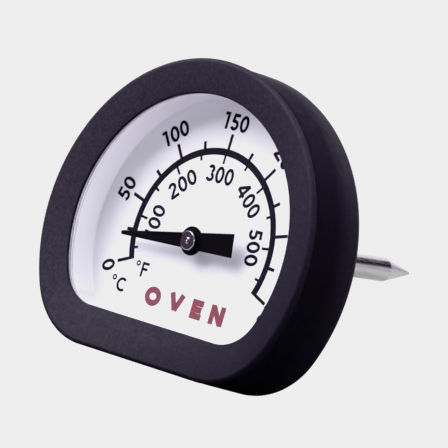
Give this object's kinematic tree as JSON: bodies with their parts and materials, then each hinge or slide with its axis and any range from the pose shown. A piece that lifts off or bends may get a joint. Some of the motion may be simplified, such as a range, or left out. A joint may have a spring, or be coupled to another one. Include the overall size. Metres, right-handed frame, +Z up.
{
  "type": "dial oven thermometer",
  "caption": "Bimetal dial oven thermometer: a D-shaped glazed dial head in a soft silicone cover, with a turning pointer and a pointed steel stem behind.",
  "frame": {"origin": "on the flat base, straight below the dial's centre, in the plane of the dial's printed face", "axes": "+Z up, +X to the right of someone reading the dial, +Y away from them towards the stem's point"},
  "size_m": [0.0646, 0.0654, 0.0549],
  "materials": {
    "silicone": "matte moulded silicone",
    "case_steel": "drawn, satin",
    "ring_steel": "pressed, satin",
    "lens_glass": "clear flat glass",
    "gasket_silicone": "translucent grey silicone",
    "dial_enamel": "white satin enamel",
    "spacer_steel": "plain strip",
    "fitting_steel": "turned",
    "seal_silicone": "red-brown high temperature silicone",
    "spring_steel": "zinc plated",
    "nut_steel": "zinc plated",
    "bearing_brass": "turned",
    "stem_steel": "ground along its length",
    "tip_steel": "turned point",
    "bimetal": "rolled strip",
    "anchor_brass": "turned",
    "spindle_steel": "bright drawn",
    "collar_brass": "turned",
    "pointer_paint": "matte black",
    "boss_paint": "black with bright worn edge"
  },
  "bodies": {
    "head": {"silicone_cover": "silicone", "case_shell": "case_steel", "retaining_ring": "ring_steel", "lens": "lens_glass", "lens_gasket": "gasket_silicone", "dial_pan": "dial_enamel", "spacer_ring": "spacer_steel", "stem_head": "fitting_steel", "sealing_washer": "seal_silicone", "lock_washer": "spring_steel", "clamp_nut": "nut_steel", "front_bearing": "bearing_brass", "stem_tube": "stem_steel", "stem_tip": "tip_steel", "guide_bush": "bearing_brass", "bimetal_coil": "bimetal", "coil_anchor": "anchor_brass"},
    "pointer_assembly": {"spindle": "spindle_steel", "coil_collar": "collar_brass", "pointer": "pointer_paint", "pointer_boss": "boss_paint"}
  },
  "joints": [
    {"name": "pointer_turn", "type": "hinge", "parent": "head", "child": "pointer_assembly", "pos_m": [0, 0, 0.02335], "axis": [0, 0.9951, 0.0985], "range_deg": [-16.1, 208.9], "stiffness_Nm_per_rad": 0.001, "deforming": ["bimetal_coil"]}
  ]
}
